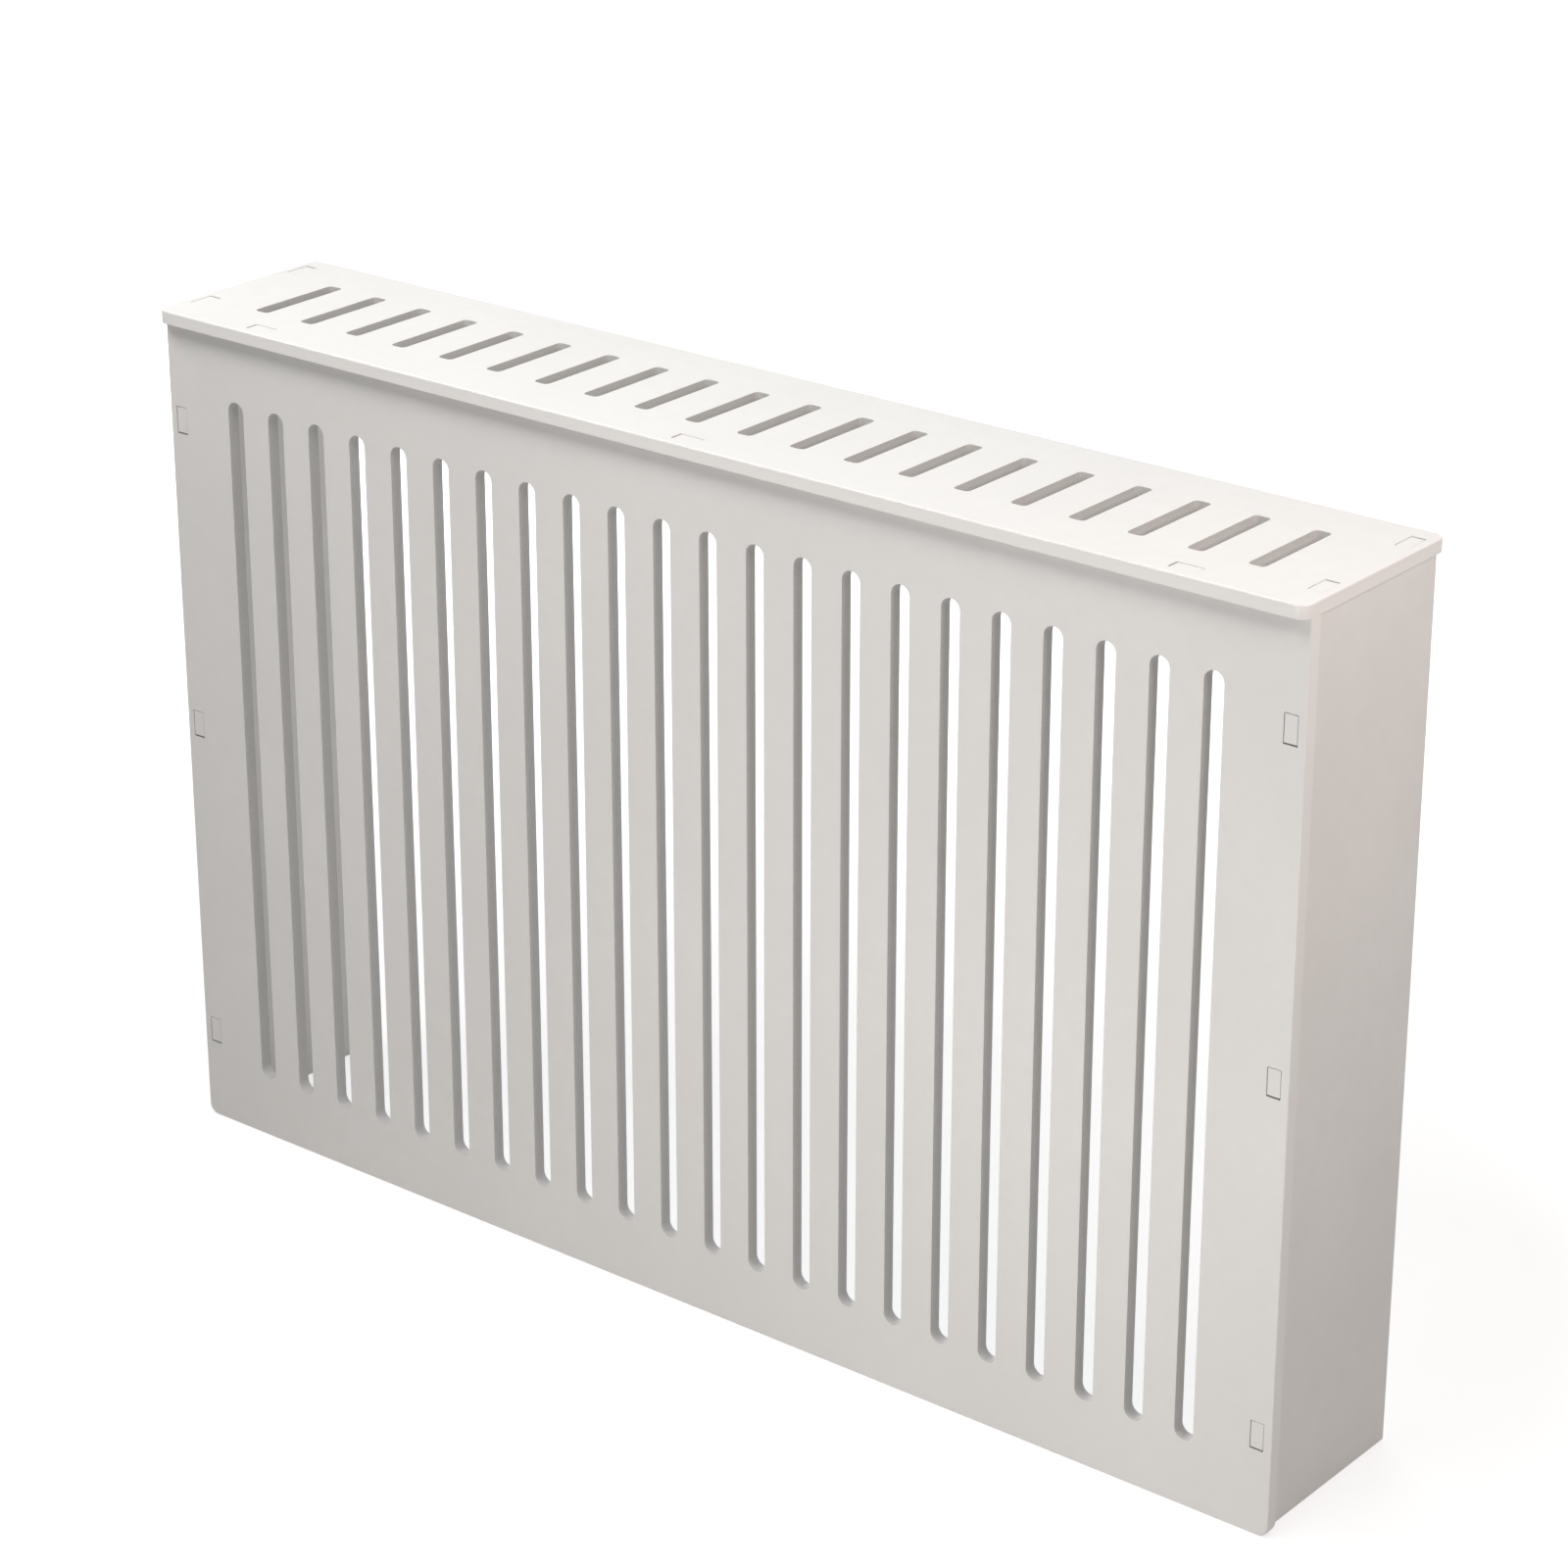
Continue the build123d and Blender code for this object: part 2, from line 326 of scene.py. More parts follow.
def blank_mesh(name, outline, mortises=()):
    """Blank for the cutting tree: outline points are (x, y, corner radius, ease), and
    mortise points are (x, y, turn)."""
    mesh = bpy.data.meshes.new(name)
    places = [(x, y, 0) for x, y, *_ in [*outline, *mortises]]
    count = len(outline)
    mesh.from_pydata(places, [(i, (i + 1) % count) for i in range(count)], [])
    spare = [0.0] * len(mortises)
    marks = {
        "corner": [corner for _, _, corner, _ in outline] + spare,
        "ease": [ease for *_, ease in outline] + spare,
        "turn": [0.0] * count + [turn for *_, turn in mortises],
    }
    for mark, values in marks.items():
        mesh.attributes.new(mark, "FLOAT", "POINT").data.foreach_set("value", values)
    return mesh


def run_tree(name, mesh, tree, inputs, place=Matrix()):
    """Plain mesh object: what the tree makes of the mesh, set in its place."""
    raw = bpy.data.objects.new(name + "_raw", mesh)
    bpy.context.scene.collection.objects.link(raw)
    modifier = raw.modifiers.new("tree", "NODES")
    modifier.node_group = tree
    sockets = {
        item.name: item.identifier for item in tree.interface.items_tree
        if item.in_out == "INPUT"
    }
    for label, value in inputs.items():
        modifier[sockets[label]] = value
    seen = raw.evaluated_get(bpy.context.evaluated_depsgraph_get())
    plain = bpy.data.meshes.new_from_object(seen)
    raw.modifiers.remove(modifier)
    bpy.data.objects.remove(raw)
    for mark in ("line", "inset", "ease", "corner", "turn", "inward", "rise", "upper", "narrow"):
        if mark in plain.attributes:
            plain.attributes.remove(plain.attributes[mark])
    # The tree leaves an empty slot before the finish.
    finish = plain.materials[len(plain.materials) - 1]
    plain.materials.clear()
    plain.materials.append(finish)
    plain.transform(place)
    plain.name = name
    piece = bpy.data.objects.new(name, plain)
    bpy.context.scene.collection.objects.link(piece)
    return piece


def tenon_points(start, end):
    """Outline of one tenon, from start to end along the board's edge."""
    start, end = Vector(start), Vector(end)
    run = end - start
    out = Vector((run.y, -run.x)).normalized() * TENON_REACH
    root, tip = (TENON_ROOT, SEAT_EASE), (TENON_TIP, TENON_EASE)
    points = ((start, root), (start + out, tip), (end + out, tip), (end, root))
    return [(point.x, point.y, *edge) for point, edge in points]


def slot_row(count, wide, long, corner, side, middle):
    """Inputs for a row of slots, the outer ones a side margin in from both ends of the board."""
    first = side + wide / 2 - half_width
    return {
        "Slot Count": count, "Slot First": (first, middle, 0),
        "Slot Pitch": -2 * first / (count - 1), "Slot Length": long, "Slot Width": wide,
        "Slot Corner": corner, "Slot Ease": SLOT_EASE,
    }


def open_material(name):
    """Empty material, its tree and the Object coordinates that its patterns follow."""
    material = bpy.data.materials.new(name)
    material.use_nodes = True
    tree = material.node_tree
    tree.nodes.clear()
    return material, tree, add_node(tree, "ShaderNodeTexCoord").outputs["Object"]


def noise(tree, coords, scale, detail=2.0, roughness=0.5):
    """Noise of the given scale, in waves to the metre."""
    feeds = {"Vector": coords, "Scale": scale, "Detail": detail, "Roughness": roughness}
    return add_node(tree, "ShaderNodeTexNoise", feeds).outputs["Fac"]


def mixed_colour(tree, factor, first, second):
    """Colour between two."""
    mix = add_node(tree, "ShaderNodeMix", data_type="RGBA")
    tree.links.new(factor, mix.inputs[0])
    for place, colour in ((6, first), (7, second)):
        if isinstance(colour, bpy.types.NodeSocket):
            tree.links.new(colour, mix.inputs[place])
        else:
            mix.inputs[place].default_value = (*colour, 1)
    return mix.outputs[2]


def bumped(tree, height, distance, under=None):
    """Normal with one more layer of relief, its height in metres."""
    feeds = {"Height": height, "Distance": distance}
    if under is not None:
        feeds["Normal"] = under
    return add_node(tree, "ShaderNodeBump", feeds).outputs[0]


def sprayed_white():
    """Satin white lacquer, cloudy by a hair and orange-peeled by the spray gun, with painted
    highlight whitening the outer rims and painted shade greying the slot and mortise walls."""
    material, tree, coords = open_material("satin_white_lacquer")
    fresh, clouded, mottled = (0.845, 0.835, 0.815), (0.80, 0.79, 0.772), (0.785, 0.772, 0.75)
    painted_rim_highlight, painted_slot_shade = (0.875, 0.865, 0.845), (0.53, 0.52, 0.51)
    waver, orange_peel, raised_fibre = 0.35 * MM, 0.02 * MM, 0.06 * MM
    # Reads the "cut" mark, which carries the painted rim highlight and painted slot shade as well as
    # the raised fibres.
    routed_and_painted_light = add_node(tree, "ShaderNodeAttribute", attribute_name="cut").outputs["Fac"]
    cloud = noise(tree, coords, 4.0, 3.0, 0.55)
    mottle = noise(tree, coords, 55.0, 3.0, 0.6)
    fleck = noise(tree, coords, 900.0, 2.0, 0.6)

    coat = mixed_colour(tree, blend_between(tree, cloud, 0, 1, 0.3, 0.7), fresh, clouded)
    coat = mixed_colour(tree, blend_between(tree, mottle, 0, 0.35, 0.35, 0.7), coat, mottled)
    # Painted highlight: the outer rims are whitened.
    rim = blend_between(tree, routed_and_painted_light, 0, 1, 0.0, RIM_HIGHLIGHT_MARK)
    coat = mixed_colour(tree, rim, coat, painted_rim_highlight)
    # Painted shade: the walls of slots and mortises are greyed, flecked a little.
    lean = calc(tree, "MULTIPLY", blend_between(tree, routed_and_painted_light, 0, 1, RIM_HIGHLIGHT_MARK, 1.0),
                blend_between(tree, fleck, 0.75, 1.0, 0.3, 0.7))
    coat = mixed_colour(tree, lean, coat, painted_slot_shade)

    sheen = calc(tree, "ADD", blend_between(tree, cloud, -0.03, 0.03, 0.3, 0.7),
                 blend_between(tree, mottle, 0.38, 0.46, 0.3, 0.7))
    sheen = calc(tree, "ADD", sheen, calc(tree, "MULTIPLY", routed_and_painted_light, 0.12))

    relief = bumped(tree, noise(tree, coords, 7.0, 1.0), waver)
    relief = bumped(tree, noise(tree, coords, 420.0, 1.5), orange_peel, relief)
    fibres = calc(tree, "MULTIPLY", routed_and_painted_light, noise(tree, coords, 1500.0, 3.0, 0.7))
    relief = bumped(tree, fibres, raised_fibre, relief)

    shader = add_node(tree, "ShaderNodeBsdfPrincipled", {
        "Base Color": coat, "Roughness": sheen, "Normal": relief, "IOR": 1.5,
    })
    add_node(tree, "ShaderNodeOutputMaterial", {"Surface": shader.outputs[0]})
    return material


panel_cutting = panel_cutting_tree()
satin_white = sprayed_white()
board_cuts = {
    "Thickness": BOARD, "Corner Steps": CORNER_STEPS, "Ease Steps": EASE_STEPS,
    "Most Inner Ease": HIDDEN_EASE,
    "Mortise Length": MORTISE_LONG, "Mortise Width": MORTISE_WIDE,
    "Mortise Corner": MORTISE_CORNER, "Mortise Ease": SEAT_EASE, "Finish": satin_white,
}

front_outline = [
    (-half_width, 0, FREE_CORNER, FACE_EASE),
    (half_width, 0, FREE_CORNER, FACE_EASE),
    (half_width, seat - SEAT_RUN, 0, FACE_EASE),
    (half_width, seat, 0, SEAT_EASE),
]
for x in FRONT_TENON_X:
    front_outline += tenon_points((x + TENON_LONG / 2, seat), (x - TENON_LONG / 2, seat))
front_outline += [
    (-half_width, seat, 0, SEAT_EASE),
    (-half_width, seat - SEAT_RUN, 0, FACE_EASE),
]
front_mortises = [
    (x, z - MORTISE_SHIFT, 0) for x in (-side_middle, side_middle) for z in FORWARD_TENON_Z
]
front_slots = slot_row(
    FRONT_SLOTS, FRONT_SLOT_WIDE, seat - 2 * FRONT_SLOT_END, FULL_ROUND * FRONT_SLOT_WIDE,
    FRONT_SLOT_SIDE, seat / 2,
)
# Drawn flat, then stood up with its show face to the front.
stood_up = Matrix(((1, 0, 0, 0), (0, 0, -1, front_inner), (0, 1, 0, 0), (0, 0, 0, 1)))
front_board = run_tree(
    "front_board", blank_mesh("front_blank", front_outline, front_mortises), panel_cutting,
    board_cuts | front_slots, stood_up,
)
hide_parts("front_panel")
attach(front_board, "cabinet")


# ------------------------------------------------------------------ side boards
# Two plain panels of the same white board, open at the back to the wall.  Three tenons on
# the forward edge plug into the front board and two on top wait for the top board.  The
# front board laps past them by 8 mm at each end.

UPRIGHT_TENON_Y = (68 * MM, -54 * MM)
SIDE_FRONT_CORNER = 0.6 * MM          # where the board meets the front board
SIDE_REAR_CORNER = 2 * MM             # at the wall
EASE_RUN = 4 * MM                     # past a corner, how soon the easing changes
HANDS = (("right", 1), ("left", -1))
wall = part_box("right_side_panel")[1].y

right_outline = [
    (front_inner, 0, SIDE_FRONT_CORNER, SEAT_EASE),
    (front_inner + EASE_RUN, 0, 0, FACE_EASE),
    (wall, 0, SIDE_REAR_CORNER, FACE_EASE),
    (wall, seat, SIDE_REAR_CORNER, FACE_EASE),
    (wall - EASE_RUN, seat, 0, SEAT_EASE),
]
for y in UPRIGHT_TENON_Y:
    right_outline += tenon_points((y + TENON_LONG / 2, seat), (y - TENON_LONG / 2, seat))
right_outline.append((front_inner, seat, SIDE_FRONT_CORNER, SEAT_EASE))
for z in reversed(FORWARD_TENON_Z):
    start, end = (front_inner, z + TENON_LONG / 2), (front_inner, z - TENON_LONG / 2)
    right_outline += tenon_points(start, end)
left_outline = [(-y, *rest) for y, *rest in reversed(right_outline)]

for (hand, way), side_outline in zip(HANDS, (right_outline, left_outline)):
    stood_up = Matrix(
        ((0, 0, way, way * side_inner), (way, 0, 0, 0), (0, 1, 0, 0), (0, 0, 0, 1))
    )
    side_board = run_tree(
        hand + "_side_board", blank_mesh(hand + "_side_blank", side_outline), panel_cutting,
        board_cuts | {"Most Inner Ease": FACE_EASE}, stood_up,
    )
    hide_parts(hand + "_side_panel")
    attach(side_board, "cabinet")


# ------------------------------------------------------------------ wall angles
# A punched and folded strip of 2 mm zinc-plated steel stands in each rear corner.  One leg
# lies on the side board under two screws, the other on the wall behind a slotted hole.

ANGLE_THICK = 2 * MM
ANGLE_TALL = 30 * MM
BOARD_LEG = 36 * MM           # flat part of each leg, free end to the fold
WALL_LEG = 26 * MM
SHEARED_CORNER = 4 * MM
DEBURRED = 0.25 * MM          # all edges of the steel
DEBURR_STEPS = 2
FOLD_RADIUS = 3 * MM          # at the middle of the steel
FOLD_STEPS = 8
FOLD_RUN = FOLD_RADIUS * pi / 2
ON_THE_FOLD = 0.001 * MM      # points nearer than this to a fold line lie on it
SCREW_FROM_END = (26 * MM, 8 * MM)
SCREW_HOLE = 4.2 * MM
WALL_SLOT_LONG = 10 * MM      # along the strip
WALL_SLOT_WIDE = 5.5 * MM
WALL_SLOT_FROM_FOLD = 14 * MM
angle_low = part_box("right_wall_bracket")[0].z


def zinc_plate():
    """Bright zinc on rolled steel: faint rolling lines, bluish bloom, dulled patches."""
    bright, bluish, rolled_clean = (0.66, 0.68, 0.70), (0.52, 0.545, 0.58), (0.74, 0.74, 0.73)
    line_depth, pit_depth = 0.006 * MM, 0.008 * MM
    material, tree, coords = open_material("bright_zinc_plate")
    feeds = {"Vector": coords, "Scale": (60.0, 60.0, 2600.0)}
    rolled = add_node(tree, "ShaderNodeMapping", feeds).outputs[0]
    lines = noise(tree, rolled, 1.0, 4.0, 0.6)
    bloom = noise(tree, coords, 90.0, 3.0, 0.6)
    pits = noise(tree, coords, 1800.0, 2.0, 0.6)
    tone = mixed_colour(tree, blend_between(tree, bloom, 0, 1, 0.35, 0.7), bright, bluish)
    tone = mixed_colour(tree, blend_between(tree, lines, 0, 0.35, 0.4, 0.75), tone, rolled_clean)
    dull = calc(tree, "ADD", blend_between(tree, bloom, 0.24, 0.42, 0.3, 0.75),
                blend_between(tree, lines, -0.05, 0.08, 0.3, 0.7))
    relief = bumped(tree, lines, line_depth)
    relief = bumped(tree, pits, pit_depth, relief)
    shader = add_node(tree, "ShaderNodeBsdfPrincipled", {
        "Base Color": tone, "Metallic": 1.0, "Roughness": dull, "Normal": relief,
    })
    add_node(tree, "ShaderNodeOutputMaterial", {"Surface": shader.outputs[0]})
    return material


def fold(point, way):
    """Place of a point of the flat strip once it is folded: x runs along the strip, y across
    it, z through the steel from the outer side."""
    run, across, depth = point
    outer_radius = FOLD_RADIUS + ANGLE_THICK / 2
    centre_x, centre_y = side_inner - outer_radius, wall - outer_radius
    past = run - BOARD_LEG
    if past <= 0:
        x, y = side_inner - depth, centre_y + past
    elif past >= FOLD_RUN:
        x, y = centre_x - (past - FOLD_RUN), wall - depth
    else:
        turned = past / FOLD_RADIUS
        radius = outer_radius - depth
        x, y = centre_x + radius * cos(turned), centre_y + radius * sin(turned)
    level = ANGLE_TALL - across if way > 0 else across
    return Vector((way * x, y, angle_low + level))


bright_zinc = zinc_plate()
strip_long = BOARD_LEG + FOLD_RUN + WALL_LEG
strip_outline = [
    (run, across, SHEARED_CORNER, DEBURRED)
    for run, across in ((0, 0), (strip_long, 0), (strip_long, ANGLE_TALL), (0, ANGLE_TALL))
]
screw_holes = [(run, ANGLE_TALL / 2, 0) for run in SCREW_FROM_END]
strip_cuts = {
    "Thickness": ANGLE_THICK, "Corner Steps": CORNER_STEPS, "Ease Steps": DEBURR_STEPS,
    "Most Inner Ease": DEBURRED,
    "Slot Count": 1, "Slot First": (BOARD_LEG + FOLD_RUN + WALL_SLOT_FROM_FOLD, ANGLE_TALL / 2, 0),
    "Slot Length": WALL_SLOT_WIDE, "Slot Width": WALL_SLOT_LONG,
    "Slot Corner": FULL_ROUND * WALL_SLOT_WIDE, "Slot Ease": DEBURRED,
    "Mortise Length": SCREW_HOLE, "Mortise Width": SCREW_HOLE,
    "Mortise Corner": FULL_ROUND * SCREW_HOLE, "Mortise Ease": DEBURRED, "Finish": bright_zinc,
}
for hand, way in HANDS:
    angle = run_tree(
        hand + "_wall_angle", blank_mesh(hand + "_strip", strip_outline, screw_holes),
        panel_cutting, strip_cuts,
    )
    flat = bmesh.new()
    flat.from_mesh(angle.data)
    for step in range(FOLD_STEPS + 1):
        fold_line = (BOARD_LEG + FOLD_RUN * step / FOLD_STEPS, 0, 0)
        everything = flat.verts[:] + flat.edges[:] + flat.faces[:]
        bmesh.ops.bisect_plane(
            flat, geom=everything, dist=ON_THE_FOLD, plane_co=fold_line, plane_no=(1, 0, 0)
        )
    for face in flat.faces:
        middle = face.calc_center_median().x
        if BOARD_LEG < middle < BOARD_LEG + FOLD_RUN:
            face.smooth = True
    for corner in flat.verts:
        corner.co = fold(corner.co, way)
    flat.to_mesh(angle.data)
    flat.free()
    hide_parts(hand + "_wall_bracket")
    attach(angle, "cabinet")


# ------------------------------------------------------------------ angle screws
# Two 3.5 mm pan-head screws with a cross recess hold each angle to its side board.  They
# are cold-headed and thread-rolled steel, zinc-plated, driven nine millimetres into the board.

HEAD_RADIUS = 3.5 * MM
HEAD_TALL = 2.4 * MM
HEAD_FOOT = 0.25 * MM         # foot of the dome, above the seat
HEAD_BREAK = 0.2 * MM
DOME_TALL = 1.5 * MM
DOME_FLAT = 0.18              # the crown's flat, as a share of the head's radius
DOME_STEPS = 6
NECK_RADIUS = 1.6 * MM
NECK_TALL = 0.4 * MM
CORE_RADIUS = 1.25 * MM
THREAD_RADIUS = 1.75 * MM
THREAD_PITCH = 1.3 * MM
THREAD_STEPS = 6              # rings of points to one turn
THREAD_START = 1.2 * MM       # below the seat
THREAD_STOP = 1.8 * MM        # before the point
THREAD_STEEP = 3.6            # at 2 the flanks would meet with no flat between two turns
SCREW_LONG = 11 * MM
POINT_RINGS = ((1.2 * MM, 0.9 * MM), (0.3 * MM, 0.3 * MM))    # height over the point, radius
SCREW_SIDES = 20
SCREW_FROM_WALL = 14 * MM     # wall to the nearer screw
SCREW_PITCH = 18 * MM
SCREW_SEED = 3
RECESS_FOOT = (0.7 * MM, 0.55 * MM, 0.25 * MM)    # height, half length, half width of an arm
RECESS_MOUTH = (HEAD_TALL + 0.2 * MM, 2.0 * MM, 0.45 * MM)
LEFTOVER = 0.002 * MM         # edges shorter than this are left over from the recess's cut
SQUARE = ((-1, -1), (1, -1), (1, 1), (-1, 1))


def turned_screw():
    """Closed mesh of one screw, its head's seat on Z 0 and its point down."""
    rings = []                # height and radius, or no radius where the thread gives it
    for step in range(1, DOME_STEPS + 1):
        tilt = radians(90 * step / DOME_STEPS)
        level = HEAD_TALL - DOME_TALL * (1 - cos(tilt))
        rings.append((level, HEAD_RADIUS * (DOME_FLAT + (1 - DOME_FLAT) * sin(tilt))))
    rings += [(HEAD_FOOT, HEAD_RADIUS), (0.0, HEAD_RADIUS - HEAD_BREAK), (0.0, NECK_RADIUS)]
    rings.append((-NECK_TALL, CORE_RADIUS))
    level = -THREAD_START
    while level > THREAD_STOP - SCREW_LONG:
        rings.append((level, None))
        level -= THREAD_PITCH / THREAD_STEPS
    rings += [(height - SCREW_LONG, radius) for height, radius in POINT_RINGS]

    mesh = bmesh.new()
    crown = mesh.verts.new((0, 0, HEAD_TALL))
    point = mesh.verts.new((0, 0, -SCREW_LONG))
    loops = []
    for level, radius in rings:
        loop = []
        for side in range(SCREW_SIDES):
            turn = 2 * pi * side / SCREW_SIDES
            reach = radius
            if radius is None:
                phase = (level / THREAD_PITCH - side / SCREW_SIDES) % 1.0
                crest = max(0.0, 1.0 - abs(phase - 0.5) * THREAD_STEEP)
                reach = CORE_RADIUS + (THREAD_RADIUS - CORE_RADIUS) * crest
            loop.append(mesh.verts.new((reach * cos(turn), reach * sin(turn), level)))
        loops.append(loop)
    for side in range(SCREW_SIDES):
        ahead = (side + 1) % SCREW_SIDES
        mesh.faces.new((crown, loops[0][side], loops[0][ahead]))
        for over, below in zip(loops, loops[1:]):
            mesh.faces.new((over[side], below[side], below[ahead], over[ahead]))
        mesh.faces.new((point, loops[-1][ahead], loops[-1][side]))
    for face in mesh.faces:
        face.smooth = True
    made = bpy.data.meshes.new("screw")
    mesh.to_mesh(made)
    mesh.free()
    return made


def recess_wing(along_x):
    """Tapered wedge that cuts one arm of the cross recess."""
    mesh = bmesh.new()
    corners = []
    for level, long, thin in (RECESS_FOOT, RECESS_MOUTH):
        x, y = (long, thin) if along_x else (thin, long)
        corners += [mesh.verts.new((i * x, j * y, level)) for i, j in SQUARE]
    low, high = corners[:4], corners[4:]
    mesh.faces.new(low[::-1])
    mesh.faces.new(high)
    for side in range(4):
        ahead = (side + 1) % 4
        mesh.faces.new((low[side], low[ahead], high[ahead], high[side]))
    made = bpy.data.meshes.new("recess_wing")
    mesh.to_mesh(made)
    mesh.free()
    wing = bpy.data.objects.new("recess_wing", made)
    bpy.context.scene.collection.objects.link(wing)
    return wing


def screw_row_tree():
    """Sets equal screws in a row, each stopped at its own turn."""
    tree, given = open_tree("screw_row", {
        "Screw": "Geometry", "Count": "Int", "First": "Vector", "Stride": "Vector",
        "Lean": "Rotation", "Seed": "Int", "Finish": "Material",
    })
    feeds = {"Count": given["Count"], "Start Location": given["First"], "Offset": given["Stride"]}
    row = add_node(tree, "GeometryNodeMeshLine", feeds).outputs[0]
    chance = add_node(tree, "FunctionNodeRandomValue", {"Seed": given["Seed"]}, data_type="FLOAT")
    chance.inputs[3].default_value = pi / 2
    stop = add_node(tree, "FunctionNodeAxisAngleToRotation", {"Angle": chance.outputs[1]}).outputs[0]
    turned = add_node(
        tree, "FunctionNodeRotateRotation", {0: given["Lean"], 1: stop}, rotation_space="LOCAL"
    ).outputs[0]
    feeds = {"Points": row, "Instance": given["Screw"], "Rotation": turned}
    screws = add_node(tree, "GeometryNodeInstanceOnPoints", feeds).outputs[0]
    close_tree(tree, screws, given["Finish"])
    return tree


blank_screw = bpy.data.objects.new("screw_blank", turned_screw())
bpy.context.scene.collection.objects.link(blank_screw)
wings = [recess_wing(True), recess_wing(False)]
for wing in wings:
    punch = blank_screw.modifiers.new("punch", "BOOLEAN")
    punch.operation, punch.solver, punch.object = "DIFFERENCE", "EXACT", wing
screw_mesh = bpy.data.meshes.new_from_object(
    blank_screw.evaluated_get(bpy.context.evaluated_depsgraph_get())
)
cleaned = bmesh.new()
cleaned.from_mesh(screw_mesh)
bmesh.ops.dissolve_degenerate(cleaned, dist=LEFTOVER, edges=cleaned.edges)
bmesh.ops.triangulate(cleaned, faces=cleaned.faces, ngon_method="EAR_CLIP")
cleaned.to_mesh(screw_mesh)
cleaned.free()
for spent in (blank_screw, *wings):
    bpy.data.objects.remove(spent)

screw_row = screw_row_tree()
screw_seat = side_inner - ANGLE_THICK
screw_level = angle_low + ANGLE_TALL / 2
for hand, way in HANDS:
    lean = Matrix.Rotation(-way * pi / 2, 3, "Y").to_euler()
    screws = run_tree(hand + "_angle_screws", screw_mesh.copy(), screw_row, {
        "Count": len(SCREW_FROM_END),
        "First": (way * screw_seat, wall - SCREW_FROM_WALL, screw_level),
        "Stride": (0, -SCREW_PITCH, 0), "Lean": lean, "Seed": SCREW_SEED + way,
        "Finish": bright_zinc,
    })
    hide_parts(hand + "_bracket_screws")
    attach(screws, "cabinet")


# ------------------------------------------------------------------ top board
# A round-cornered shelf of the same board, with a row of vent slots and seven mortises.  It
# drops over the upright tenons, which end just shy of its face, and lifts straight off them.

TOP_SLOTS = 20
TOP_SLOT_WIDE = 15 * MM
TOP_SLOT_CORNER = 4 * MM
TOP_SLOT_SIDE = 70 * MM       # board's end to the first slot
TOP_SLOT_END = 52 * MM        # slot's tip to the front or rear edge

low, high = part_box("top_panel")
top_outline = [
    (x, y, FREE_CORNER, FACE_EASE)
    for x, y in ((low.x, low.y), (high.x, low.y), (high.x, high.y), (low.x, high.y))
]
top_mortises = [
    (x, y + MORTISE_SHIFT, 0) for x in (-side_middle, side_middle) for y in UPRIGHT_TENON_Y
]
top_mortises += [(x - MORTISE_SHIFT, front_inner - BOARD / 2, pi / 2) for x in FRONT_TENON_X]
top_slots = slot_row(
    TOP_SLOTS, TOP_SLOT_WIDE, high.y - low.y - 2 * TOP_SLOT_END, TOP_SLOT_CORNER,
    TOP_SLOT_SIDE, 0,
)
top_board = run_tree(
    "top_board", blank_mesh("top_blank", top_outline, top_mortises), panel_cutting,
    board_cuts | top_slots, Matrix.Translation((0, 0, seat)),
)
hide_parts("top_panel")
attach(top_board, "top")


# ------------------------------------------------------------------ studio
# Not part of the cabinet: a pale floor in a plain pale room, lit by one broad lamp overhead
# and six smaller soft ones, so that the top is brightest and the lower left end darkest.

FLOOR_REACH = 20.0                    # metres, as all sizes in this section
FLOOR_GLOW = (0.58, 1.0)              # strength round the cabinet, and far from it
FLOOR_FADE = (0.7, 1.5)               # where the one goes over into the other
ROOM_LIGHT = 0.2


def seen_directly(tree):
    """One for rays from the camera, a mirror or glass, nothing for the light they bring."""
    path = add_node(tree, "ShaderNodeLightPath").outputs
    seen = calc(tree, "MAXIMUM", path["Is Camera Ray"], path["Is Glossy Ray"])
    return calc(tree, "MAXIMUM", seen, path["Is Transmission Ray"])


floor_mesh = bpy.data.meshes.new("floor")
floor_corners = [(i * FLOOR_REACH, j * FLOOR_REACH, 0) for i, j in SQUARE]
floor_mesh.from_pydata(floor_corners, [], [(0, 1, 2, 3)])
floor = bpy.data.objects.new("floor", floor_mesh)
bpy.context.scene.collection.objects.link(floor)
pale_floor, tree, coords = open_material("pale_floor")
away = calc_vector(tree, "MULTIPLY", coords, (1, 1, 0))
away = add_node(tree, "ShaderNodeVectorMath", {0: away}, operation="LENGTH").outputs["Value"]
brightness = blend_between(tree, away, *FLOOR_GLOW, *FLOOR_FADE)
glow = add_node(tree, "ShaderNodeEmission", {"Color": (1, 1, 1, 1), "Strength": brightness})
shade = add_node(tree, "ShaderNodeBsdfDiffuse", {"Color": (0.58, 0.58, 0.58, 1)})
shown = add_node(tree, "ShaderNodeAddShader", {0: glow.outputs[0], 1: shade.outputs[0]})
plain = add_node(tree, "ShaderNodeBsdfDiffuse", {"Color": (0.5, 0.5, 0.49, 1)})
feeds = {0: seen_directly(tree), 1: plain.outputs[0], 2: shown.outputs[0]}
floor_finish = add_node(tree, "ShaderNodeMixShader", feeds)
add_node(tree, "ShaderNodeOutputMaterial", {"Surface": floor_finish.outputs[0]})
floor_mesh.materials.append(pale_floor)

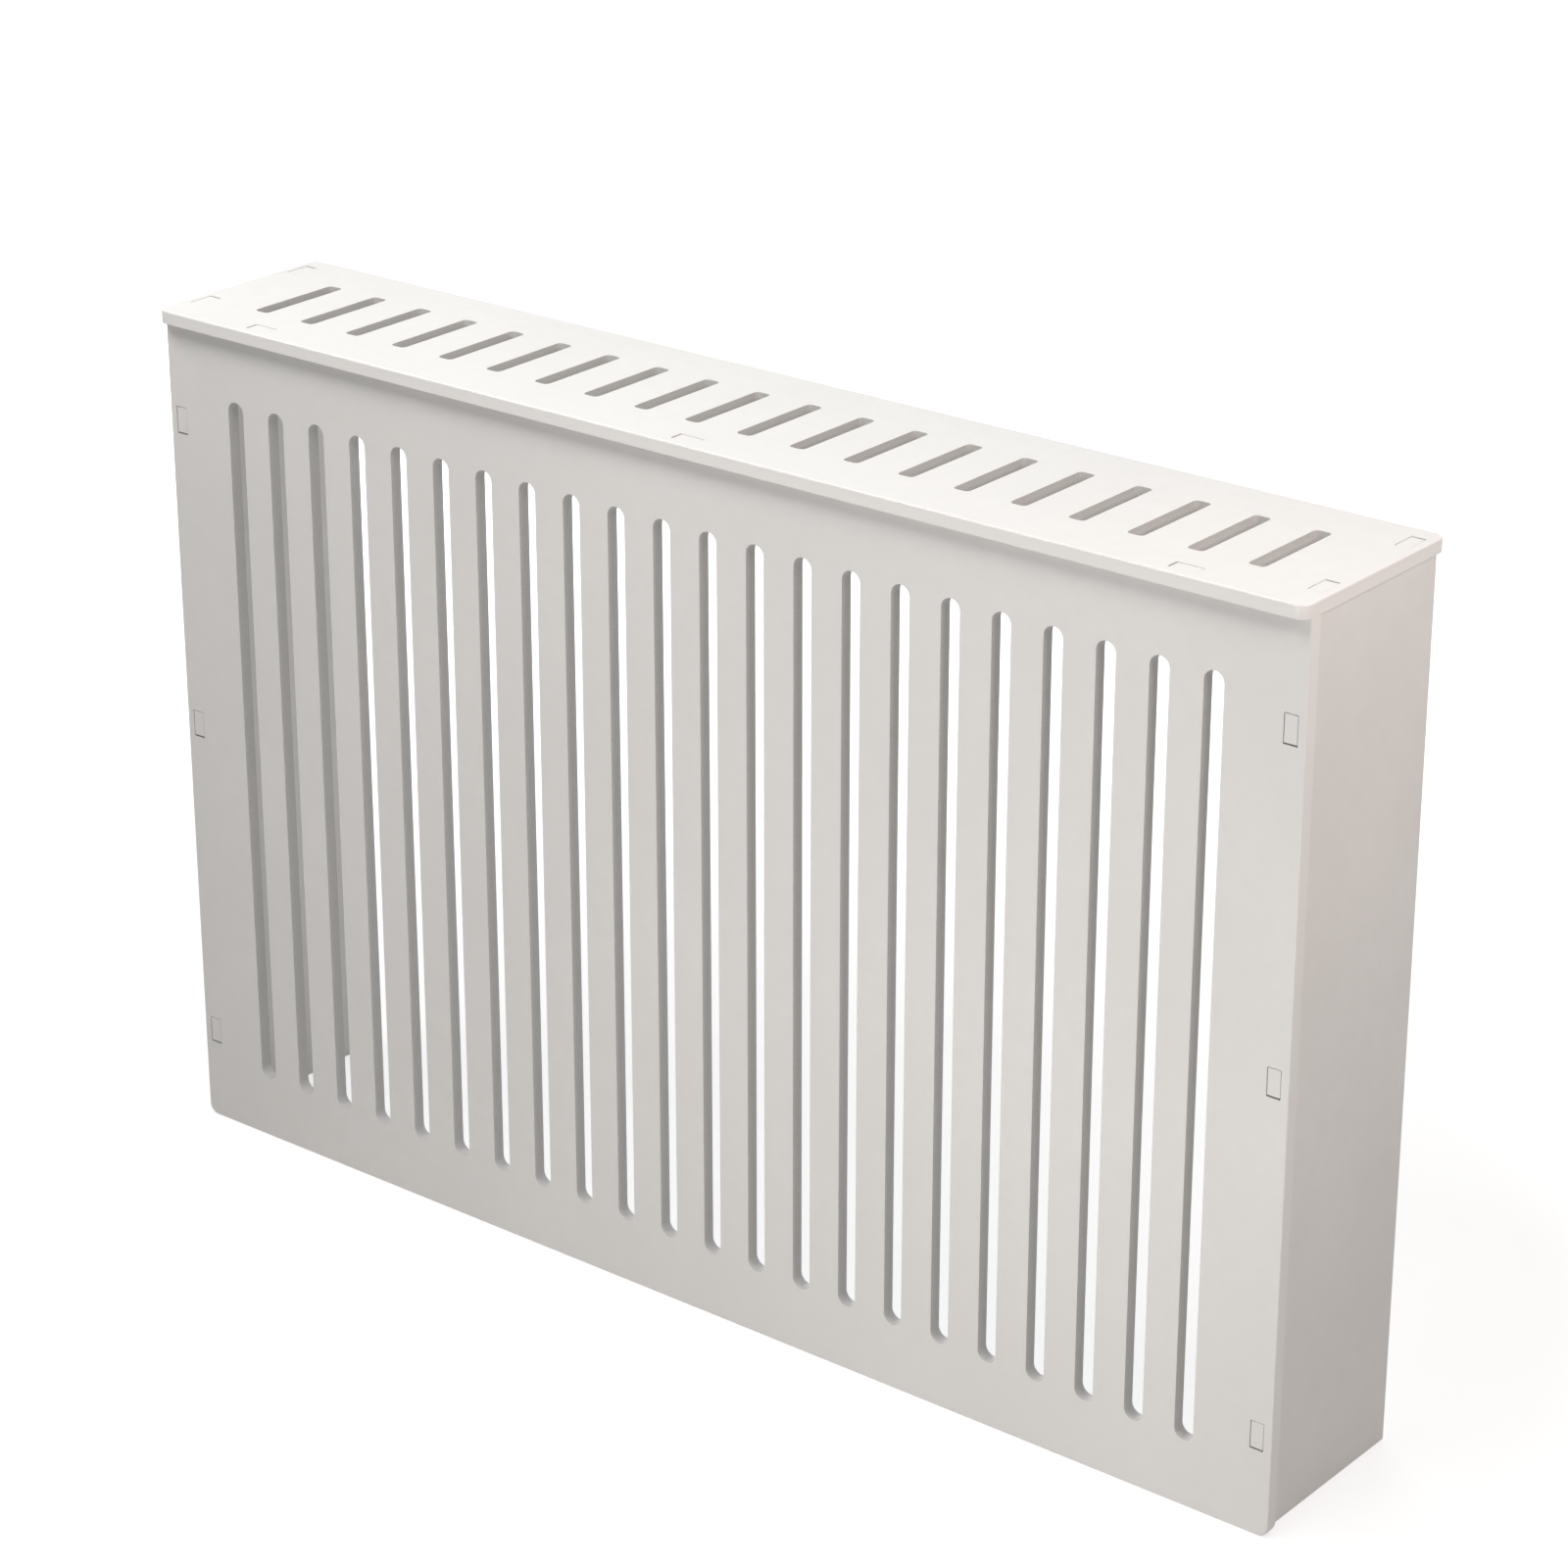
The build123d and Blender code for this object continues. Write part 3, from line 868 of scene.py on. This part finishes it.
room = bpy.data.worlds.new("pale_room")
room.use_nodes = True
tree = room.node_tree
tree.nodes.clear()
backdrop = add_node(tree, "ShaderNodeBackground", {"Color": (1, 1, 1, 1), "Strength": 1.0})
feeds = {"Color": (0.97, 0.98, 1, 1), "Strength": ROOM_LIGHT}
fill_light = add_node(tree, "ShaderNodeBackground", feeds)
feeds = {0: seen_directly(tree), 1: fill_light.outputs[0], 2: backdrop.outputs[0]}
room_finish = add_node(tree, "ShaderNodeMixShader", feeds)
add_node(tree, "ShaderNodeOutputWorld", {"Surface": room_finish.outputs[0]})
bpy.context.scene.world = room


def soft_lamp(name, place, aim, size, power, colour):
    """Soft rectangular lamp that faces its aim, its power in watts."""
    lamp = bpy.data.lights.new(name, "AREA")
    lamp.shape = "RECTANGLE"
    lamp.size, lamp.size_y = size
    lamp.energy = power
    lamp.color = colour
    stand = bpy.data.objects.new(name, lamp)
    stand.visible_camera = False
    stand.location = place
    stand.rotation_euler = (Vector(aim) - Vector(place)).to_track_quat("-Z", "Y").to_euler()
    bpy.context.scene.collection.objects.link(stand)


soft_lamp("overhead_lamp", place=(0, 1.2, 3.0), aim=(0, 0, 0.8), size=(3.0, 1.6),
          power=19, colour=(0.93, 0.98, 1))
soft_lamp("front_lamp", place=(-0.1, -0.7, 1.9), aim=(-0.1, 0, 0.7), size=(1.4, 0.5),
          power=9.8, colour=(1, 0.99, 0.98))
soft_lamp("left_lamp", place=(-1.0, -0.5, 1.9), aim=(-0.5, 0, 0.8), size=(0.8, 0.6),
          power=7.4, colour=(1, 0.97, 0.92))
soft_lamp("right_lamp", place=(1.5, -0.2, 1.4), aim=(0.6, 0, 0.7), size=(0.6, 0.4),
          power=8.3, colour=(1, 0.87, 0.81))
soft_lamp("low_lamp", place=(0.2, -1.3, 0.3), aim=(0.2, 0, 0.2), size=(0.9, 0.4),
          power=2.6, colour=(1, 0.91, 0.9))
soft_lamp("low_right_lamp", place=(0.55, -0.9, 0.35), aim=(0.5, 0, 0.35), size=(0.5, 0.4),
          power=1.6, colour=(0.98, 1, 0.98))
soft_lamp("rear_lamp", place=(-1.6, 2.4, 0.45), aim=(0, 0, 0.4), size=(2.4, 0.6),
          power=42, colour=(1, 0.99, 0.97))

# The camera stands to the front right, a little under four metres off.
CAMERA_PLACE = (2.18508, -2.68398, 1.92888)
AZIMUTH, ELEVATION = radians(38.735), radians(22.874)
LENS, FILM = 101.12, 36               # millimetres

look = Vector((-sin(AZIMUTH) * cos(ELEVATION), cos(AZIMUTH) * cos(ELEVATION), -sin(ELEVATION)))
eye = bpy.data.cameras.new("camera")
eye.lens = LENS
eye.sensor_width = FILM
camera = bpy.data.objects.new("camera", eye)
camera.location = CAMERA_PLACE
camera.rotation_euler = look.to_track_quat("-Z", "Y").to_euler()
bpy.context.scene.collection.objects.link(camera)
bpy.context.scene.camera = camera
bpy.context.scene.view_settings.view_transform = "Standard"
